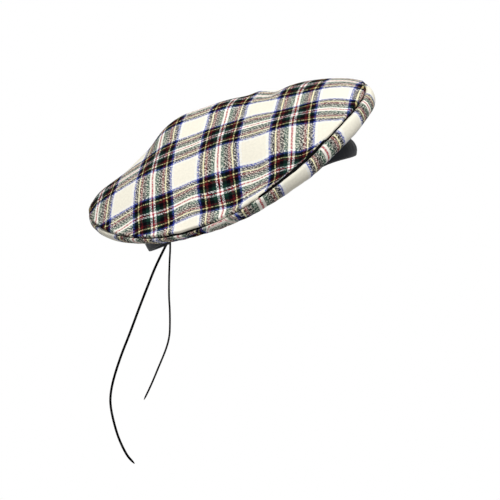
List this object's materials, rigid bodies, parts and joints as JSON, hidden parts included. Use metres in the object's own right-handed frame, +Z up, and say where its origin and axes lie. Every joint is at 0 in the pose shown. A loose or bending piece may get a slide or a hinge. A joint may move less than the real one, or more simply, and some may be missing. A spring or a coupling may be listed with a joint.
{
  "type": "tam o shanter",
  "caption": "Wide round checked cloth cap with a gathered side strip, a black leather headband and two hanging tie cords, in its worn form.",
  "frame": {"origin": "middle of the headband's lower edge, where the head goes in", "axes": "+Z up, the front of the hat faces -Y, the wearer's left is +X; the hat is tipped up 27 degrees at the front as it is worn"},
  "size_m": [0.2453, 0.2426, 0.3614],
  "materials": {
    "crown_cloth": "brushed cotton twill in a cream, navy, green and red tartan",
    "side_cloth": "brushed cotton twill in a cream, navy, green and red tartan",
    "headband_leather": "soft black leather binding, satin",
    "tie_cord": "thin black waxed cord"
  },
  "bodies": {
    "root": {"crown_panel": "crown_cloth", "side_panel": "side_cloth", "headband": "headband_leather", "cord_long": "tie_cord", "cord_short": "tie_cord"}
  },
  "joints": []
}
